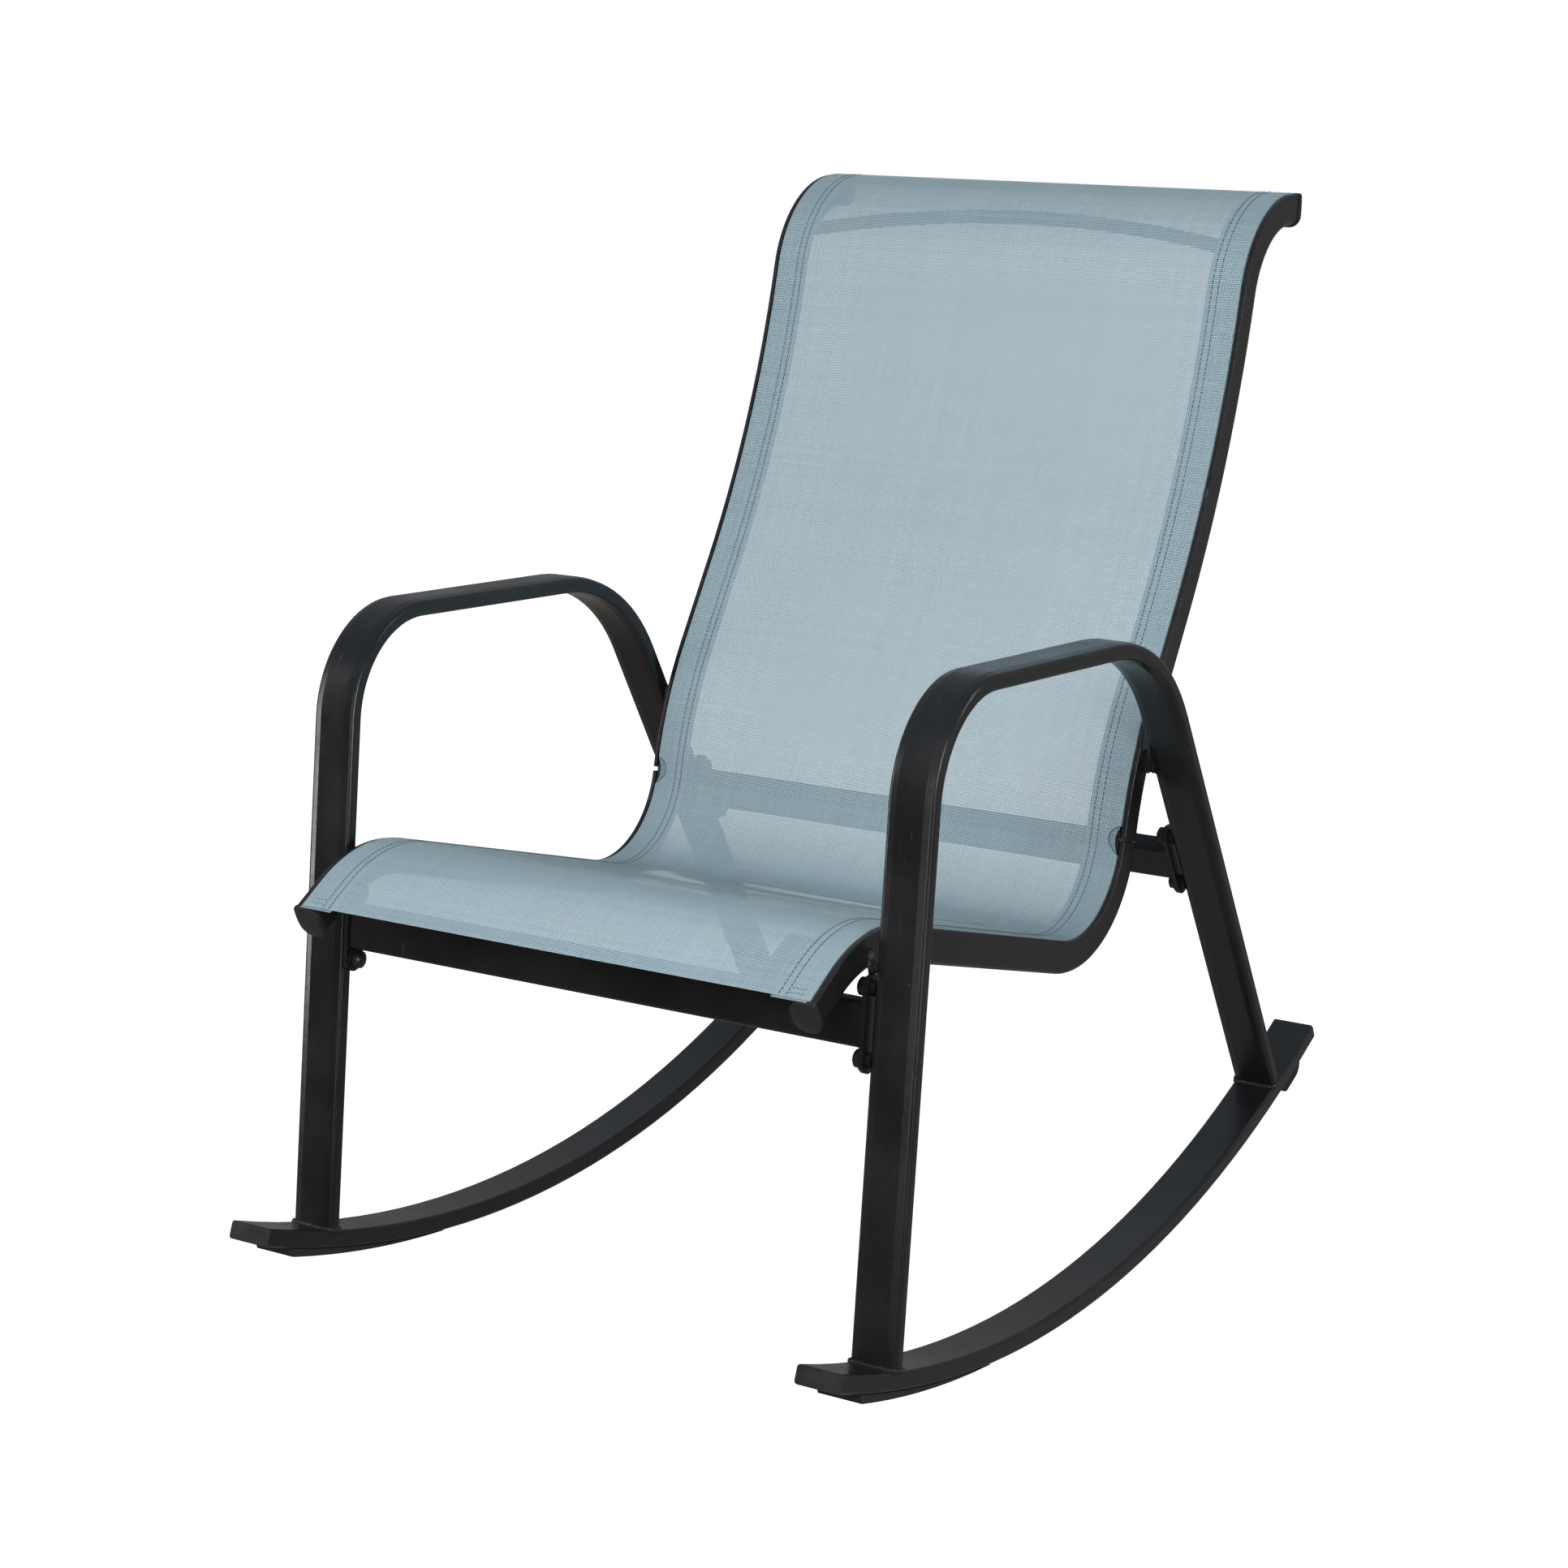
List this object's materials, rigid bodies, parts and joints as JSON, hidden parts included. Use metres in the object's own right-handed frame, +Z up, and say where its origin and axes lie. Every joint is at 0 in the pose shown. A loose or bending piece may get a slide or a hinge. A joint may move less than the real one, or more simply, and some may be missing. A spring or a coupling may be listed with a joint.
{
  "type": "rocking chair",
  "caption": "Metal rocking chair with a one-piece mesh sling seat and back, bent flat-tube arm frames and curved rockers with rubber pads.",
  "frame": {"origin": "on the floor, in the middle of the chair seen from above", "axes": "+Z up, the sitter faces -Y, +X is to the sitter's left"},
  "size_m": [0.608, 0.9546, 0.9169],
  "materials": {
    "powder_coat": "satin",
    "rocker_end_cap": "satin",
    "rail_coat": "satin",
    "weld_coat": "satin",
    "bolt_steel": "satin",
    "rail_cap_plastic": "satin",
    "pad_rubber": "matte",
    "spline_cord": "matte",
    "sling_mesh": "matte"
  },
  "bodies": {
    "root": {"arm_frame_left": "powder_coat", "arm_frame_right": "powder_coat", "rocker_left": "powder_coat", "rocker_right": "powder_coat", "front_bar": "powder_coat", "rear_bar": "powder_coat", "front_plate_left": "powder_coat", "front_plate_right": "powder_coat", "rear_plate_left": "powder_coat", "rear_plate_right": "powder_coat", "rocker_cap_front_left": "rocker_end_cap", "rocker_cap_front_right": "rocker_end_cap", "rocker_cap_rear_left": "rocker_end_cap", "rocker_cap_rear_right": "rocker_end_cap", "seat_rail_left": "rail_coat", "seat_rail_right": "rail_coat", "back_rail_left": "rail_coat", "back_rail_right": "rail_coat", "top_spreader": "rail_coat", "foot_welds_left": "weld_coat", "foot_welds_right": "weld_coat", "rail_welds_left": "weld_coat", "rail_welds_right": "weld_coat", "plate_bolts_left": "bolt_steel", "plate_bolts_right": "bolt_steel", "plate_washers_left": "bolt_steel", "plate_washers_right": "bolt_steel", "rail_joiner_left": "rail_cap_plastic", "rail_joiner_right": "rail_cap_plastic", "seat_rail_cap_left": "rail_cap_plastic", "seat_rail_cap_right": "rail_cap_plastic", "back_rail_cap_left": "rail_cap_plastic", "back_rail_cap_right": "rail_cap_plastic", "front_pad_left": "pad_rubber", "front_pad_right": "pad_rubber", "rear_stop_left": "pad_rubber", "rear_stop_right": "pad_rubber", "spline_left": "spline_cord", "spline_right": "spline_cord", "sling": "sling_mesh"}
  },
  "joints": []
}
